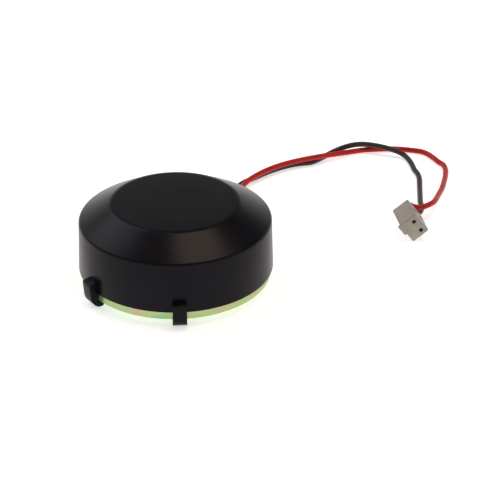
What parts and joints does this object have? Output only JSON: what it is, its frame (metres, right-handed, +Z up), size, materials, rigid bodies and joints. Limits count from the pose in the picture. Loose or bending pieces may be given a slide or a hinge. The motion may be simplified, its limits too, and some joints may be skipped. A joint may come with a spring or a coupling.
{
  "type": "coin vibration motor",
  "caption": "Round black coin vibration motor with a chamfered moulded case clinched over a steel base plate, an unbalanced rotor inside, and thin leads to a crimp connector.",
  "frame": {"origin": "centre of the four feet's undersides, on the surface that the motor stands on", "axes": "+Z up along the rotor's axis, through the flat top; +Y is the way the leads leave the case"},
  "size_m": [0.0441, 0.0726, 0.0132],
  "materials": {
    "case_black": "satin black moulded plastic",
    "passivated_steel": "zinc plated steel with iridescent yellow passivation",
    "ground_steel": "ground steel",
    "brass": "turned brass",
    "washer_nylon": "natural nylon",
    "circuit_board": "green glass epoxy board",
    "magnet_nickel": "nickel plated magnet",
    "spring_bronze": "phosphor bronze spring strip",
    "solder_tin": "tin",
    "seal_adhesive": "cured sealing adhesive",
    "insulation_red": "red PVC insulation",
    "insulation_black": "black PVC insulation",
    "housing_nylon": "off-white nylon",
    "sintered_bronze": "oil-filled sintered bronze",
    "rotor_resin": "black moulded resin",
    "tungsten": "sintered tungsten alloy",
    "copper_wire": "self-bonded enamelled copper winding",
    "gold_plate": "gold plated copper"
  },
  "bodies": {
    "motor_body": {"case": "case_black", "base_plate": "passivated_steel", "shaft": "ground_steel", "shaft_collar": "brass", "lower_washer": "washer_nylon", "upper_washer": "washer_nylon", "brush_board": "circuit_board", "ring_magnet": "magnet_nickel", "brush_positive": "spring_bronze", "brush_negative": "spring_bronze", "solder_positive": "solder_tin", "solder_negative": "solder_tin", "lead_seal": "seal_adhesive", "lead_red": "insulation_red", "lead_black": "insulation_black", "connector_housing": "housing_nylon", "contact_1": "solder_tin", "contact_2": "solder_tin"},
    "rotor": {"bearing_bush": "sintered_bronze", "rotor_frame": "rotor_resin", "commutator_board": "circuit_board", "counterweight": "tungsten", "coil_1": "copper_wire", "coil_2": "copper_wire", "coil_3": "copper_wire", "commutator_segment_1": "gold_plate", "commutator_segment_2": "gold_plate", "commutator_segment_3": "gold_plate", "commutator_segment_4": "gold_plate", "commutator_segment_5": "gold_plate", "commutator_segment_6": "gold_plate"}
  },
  "joints": [
    {"name": "rotor_spin", "type": "hinge", "parent": "motor_body", "child": "rotor", "pos_m": [0, 0, 0.008], "axis": [0, 0, 1], "continuous": true}
  ]
}
